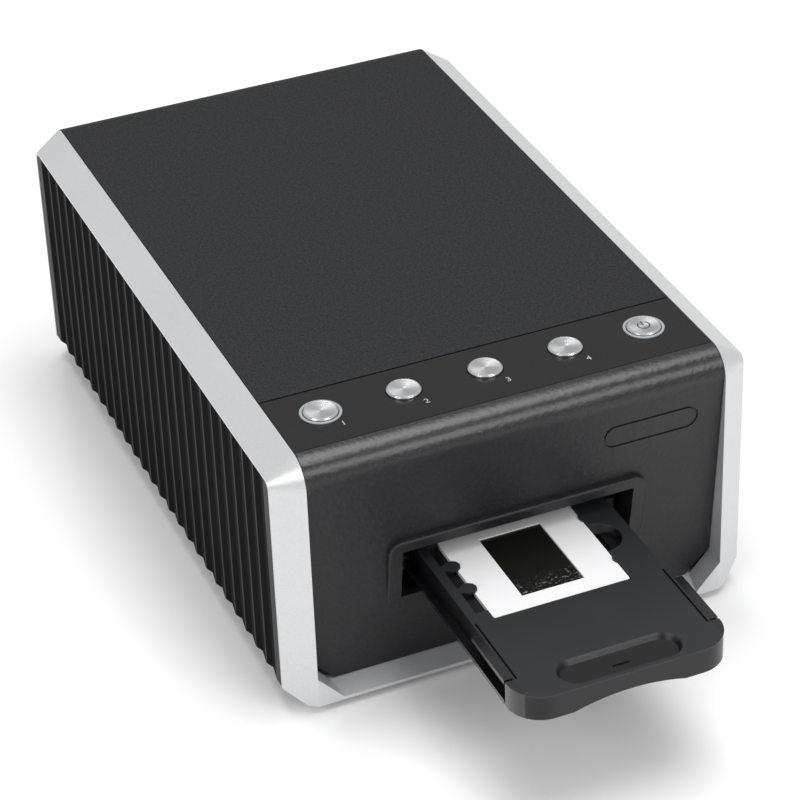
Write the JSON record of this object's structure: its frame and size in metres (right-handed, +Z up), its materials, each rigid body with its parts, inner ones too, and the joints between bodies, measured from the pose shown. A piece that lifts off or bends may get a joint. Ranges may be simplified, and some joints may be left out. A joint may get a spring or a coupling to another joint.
{
  "type": "film and slide scanner",
  "caption": "Desktop film and slide scanner: silver-framed black box with a row of round top keys and a slide holder that runs in and out through a front slot.",
  "frame": {"origin": "on the desk, under the middle of the box round the body and the holder at rest", "axes": "+Z up, +Y from the slot to the rear panel, +X to the right as seen from the front"},
  "size_m": [0.175, 0.347, 0.1027],
  "materials": {
    "silver": "satin silver",
    "panel_black": "satin black pleats",
    "cover_black": "fine-textured dark grey",
    "bezel_black": "fine-grained black",
    "strip_black": "semi-gloss black",
    "base_black": "plain dark grey",
    "key_metal": "spun metal",
    "ring_clear": "translucent light ring",
    "holder_dark": "semi-gloss dark grey",
    "mount_white": "white slide mount",
    "film": "developed film",
    "rubber": "matt black rubber",
    "steel": "bright steel",
    "brass": "plain brass",
    "gear_white": "white acetal",
    "inner_black": "matt black inside parts",
    "board_green": "green circuit board",
    "chip_black": "black chips",
    "capacitor": "aluminium cans",
    "lamp_white": "white diffuser",
    "glass": "clear optical glass",
    "mirror": "front-silvered mirror"
  },
  "bodies": {
    "housing": {"left_side_frame": "silver", "right_side_frame": "silver", "front_sill": "silver", "left_side_panel": "panel_black", "right_side_panel": "panel_black", "top_cover": "cover_black", "front_bezel": "bezel_black", "slot_surround": "bezel_black", "button_strip": "strip_black", "rear_panel": "base_black", "base_tray": "base_black", "left_light_ring": "ring_clear", "right_light_ring": "ring_clear", "lock_plate": "steel", "rubber_feet": "rubber", "case_screws": "steel", "key_board": "board_green", "key_switches": "chip_black", "key_board_screws": "steel", "left_guide_rail": "inner_black", "right_guide_rail": "inner_black", "shaft_bushes": "brass", "reduction_pin": "steel", "motor_body": "capacitor", "motor_screws": "steel", "gear_plate": "steel", "bearing_bracket": "steel", "optics_bench": "inner_black", "fold_mirror": "mirror", "lens_barrel": "inner_black", "lens_glasses": "glass", "sensor_board": "board_green", "image_sensor": "chip_black", "lamp_bridge": "inner_black", "lamp_diffuser": "lamp_white", "lamp_housing": "inner_black", "lamp_board": "board_green", "lamp_leds": "lamp_white", "holder_sensor": "chip_black", "main_board": "board_green", "main_board_screws": "steel", "usb_socket": "steel", "dc_inlet": "chip_black", "board_chips": "chip_black", "board_capacitors": "capacitor"},
    "film_holder": {"holder_tray": "holder_dark", "slide_mount": "mount_white", "film_frame": "film"},
    "drive_train": {"drive_shaft": "steel", "drive_pinion": "gear_white", "drive_gear": "gear_white", "shaft_clips": "steel"},
    "reducer": {"reduction_gear": "gear_white"},
    "rotor": {"motor_rotor": "brass"},
    "scan_key_1": {"scan_button_1": "key_metal"},
    "scan_key_2": {"scan_button_2": "key_metal"},
    "scan_key_3": {"scan_button_3": "key_metal"},
    "scan_key_4": {"scan_button_4": "key_metal"},
    "power_key": {"power_button": "key_metal"}
  },
  "joints": [
    {"name": "holder_slide", "type": "slide", "parent": "housing", "child": "film_holder", "axis": [0, 1, 0], "range_m": [-0.13, 0.073]},
    {"name": "drive_spin", "type": "hinge", "parent": "housing", "child": "drive_train", "pos_m": [0, -0.06747, 0.0327], "axis": [1, 0, 0], "range_deg": [-465.7, 828.6]},
    {"name": "reducer_spin", "type": "hinge", "parent": "housing", "child": "reducer", "pos_m": [0, -0.04845, 0.02652], "axis": [1, 0, 0], "range_deg": [-2129.1, 1196]},
    {"name": "motor_spin", "type": "hinge", "parent": "housing", "child": "rotor", "pos_m": [0, -0.02786, 0.02363], "axis": [1, 0, 0], "range_deg": [-3984.4, 7094.8]},
    {"name": "scan_key_1_press", "type": "slide", "parent": "housing", "child": "scan_key_1", "axis": [0, 0, -1], "range_m": [0, 0.0006], "stiffness_N_per_m": 800},
    {"name": "scan_key_2_press", "type": "slide", "parent": "housing", "child": "scan_key_2", "axis": [0, 0, -1], "range_m": [0, 0.0006], "stiffness_N_per_m": 800},
    {"name": "scan_key_3_press", "type": "slide", "parent": "housing", "child": "scan_key_3", "axis": [0, 0, -1], "range_m": [0, 0.0006], "stiffness_N_per_m": 800},
    {"name": "scan_key_4_press", "type": "slide", "parent": "housing", "child": "scan_key_4", "axis": [0, 0, -1], "range_m": [0, 0.0006], "stiffness_N_per_m": 800},
    {"name": "power_key_press", "type": "slide", "parent": "housing", "child": "power_key", "axis": [0, 0, -1], "range_m": [0, 0.0006], "stiffness_N_per_m": 800}
  ],
  "couplings": [
    {"joint": "drive_spin", "follows": "holder_slide", "rad_per_m": -111.11},
    {"joint": "reducer_spin", "follows": "holder_slide", "rad_per_m": 285.71},
    {"joint": "motor_spin", "follows": "holder_slide", "rad_per_m": -952.38}
  ]
}
